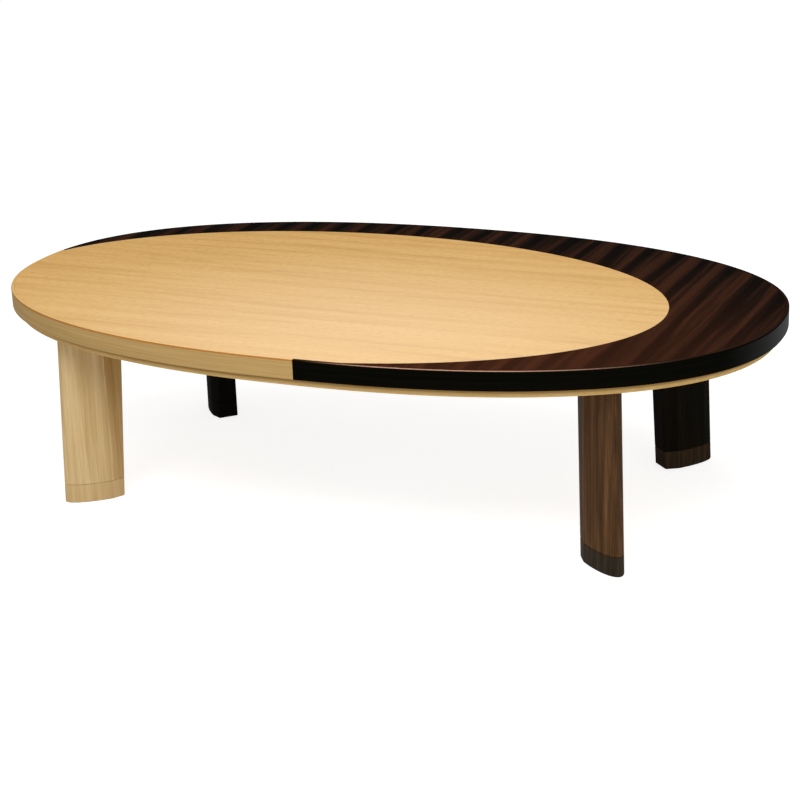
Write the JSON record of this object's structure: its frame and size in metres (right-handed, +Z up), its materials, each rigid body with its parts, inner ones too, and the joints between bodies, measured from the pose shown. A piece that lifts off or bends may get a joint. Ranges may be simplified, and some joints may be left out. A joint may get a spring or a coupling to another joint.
{
  "type": "kotatsu table",
  "caption": "Low oval heated table with a two-tone lift-off top, oval rim frame, fin legs, pull-off extension feet and a heater with fan under the frame.",
  "frame": {"origin": "on the floor under the middle of the oval top", "axes": "+X along the length to the right end, +Y to the back, +Z up"},
  "size_m": [1.5, 0.9, 0.387],
  "materials": {
    "light_veneer": "satin lacquer over pale veneer",
    "dark_veneer": "satin lacquer over dark striped veneer",
    "board": "raw board",
    "backing": "matt sheet",
    "rim_wood": "satin lacquer",
    "bare_wood": "planed",
    "light_leg_wood": "satin lacquer",
    "dark_leg_wood": "satin stain",
    "zinc_steel": "zinc plated",
    "housing_steel": "matt heat-proof paint",
    "reflector_aluminium": "polished",
    "quartz": "clear tinted",
    "carbon": "matt carbon fibre strip",
    "ceramic": "unglazed steatite",
    "guard_plastic": "fine texture",
    "guard_wire": "bright wire",
    "contact_brass": "plain"
  },
  "bodies": {
    "frame": {"rim_front": "rim_wood", "rim_back": "rim_wood", "rim_left": "rim_wood", "rim_right": "rim_wood", "rail_front": "bare_wood", "rail_back": "bare_wood", "rail_left": "bare_wood", "rail_right": "bare_wood", "corner_block_front_left": "bare_wood", "corner_block_front_right": "bare_wood", "corner_block_back_right": "bare_wood", "corner_block_back_left": "bare_wood", "heater_bar_left": "bare_wood", "heater_bar_right": "bare_wood", "leg_front_left": "light_leg_wood", "leg_front_right": "dark_leg_wood", "leg_back_right": "dark_leg_wood", "leg_back_left": "dark_leg_wood", "leg_bolt_front_left": "zinc_steel", "leg_bolt_front_right": "zinc_steel", "leg_bolt_back_right": "zinc_steel", "leg_bolt_back_left": "zinc_steel", "heater_screw_front_left": "zinc_steel", "heater_screw_front_right": "zinc_steel", "heater_screw_back_right": "zinc_steel", "heater_screw_back_left": "zinc_steel", "fan_motor": "zinc_steel", "heater_housing": "housing_steel", "reflector": "reflector_aluminium", "quartz_tube_front": "quartz", "quartz_tube_back": "quartz", "carbon_element_front": "carbon", "carbon_element_back": "carbon", "ceramic_holder_left": "ceramic", "ceramic_holder_right": "ceramic", "terminal_block": "ceramic", "guard_bar_front": "guard_plastic", "guard_bar_back": "guard_plastic", "guard_bar_left": "guard_plastic", "guard_bar_right": "guard_plastic", "cord_inlet": "guard_plastic", "thermostat": "guard_plastic", "guard_wires": "guard_wire", "inlet_pin_front": "contact_brass", "inlet_pin_back": "contact_brass"},
    "top_board": {"top_core": "board", "backing_sheet": "backing", "light_veneer": "light_veneer", "dark_veneer": "dark_veneer", "light_edge": "light_veneer", "dark_edge": "dark_veneer"},
    "fan": {"fan_impeller": "guard_plastic"},
    "front_left_foot": {"foot_front_left": "light_leg_wood", "foot_tongue_front_left": "bare_wood"},
    "front_right_foot": {"foot_front_right": "dark_leg_wood", "foot_tongue_front_right": "bare_wood"},
    "back_right_foot": {"foot_back_right": "dark_leg_wood", "foot_tongue_back_right": "bare_wood"},
    "back_left_foot": {"foot_back_left": "dark_leg_wood", "foot_tongue_back_left": "bare_wood"}
  },
  "joints": [
    {"name": "top_lift", "type": "slide", "parent": "frame", "child": "top_board", "axis": [0, 0, 1], "range_m": [0, 0.12]},
    {"name": "front_left_foot_pull", "type": "slide", "parent": "frame", "child": "front_left_foot", "axis": [0, 0, -1], "range_m": [0, 0.04]},
    {"name": "front_right_foot_pull", "type": "slide", "parent": "frame", "child": "front_right_foot", "axis": [0, 0, -1], "range_m": [0, 0.04]},
    {"name": "back_right_foot_pull", "type": "slide", "parent": "frame", "child": "back_right_foot", "axis": [0, 0, -1], "range_m": [0, 0.04]},
    {"name": "back_left_foot_pull", "type": "slide", "parent": "frame", "child": "back_left_foot", "axis": [0, 0, -1], "range_m": [0, 0.04]},
    {"name": "fan_spin", "type": "hinge", "parent": "frame", "child": "fan", "pos_m": [0, 0, 0.3074], "axis": [0, 0, 1], "continuous": true}
  ]
}
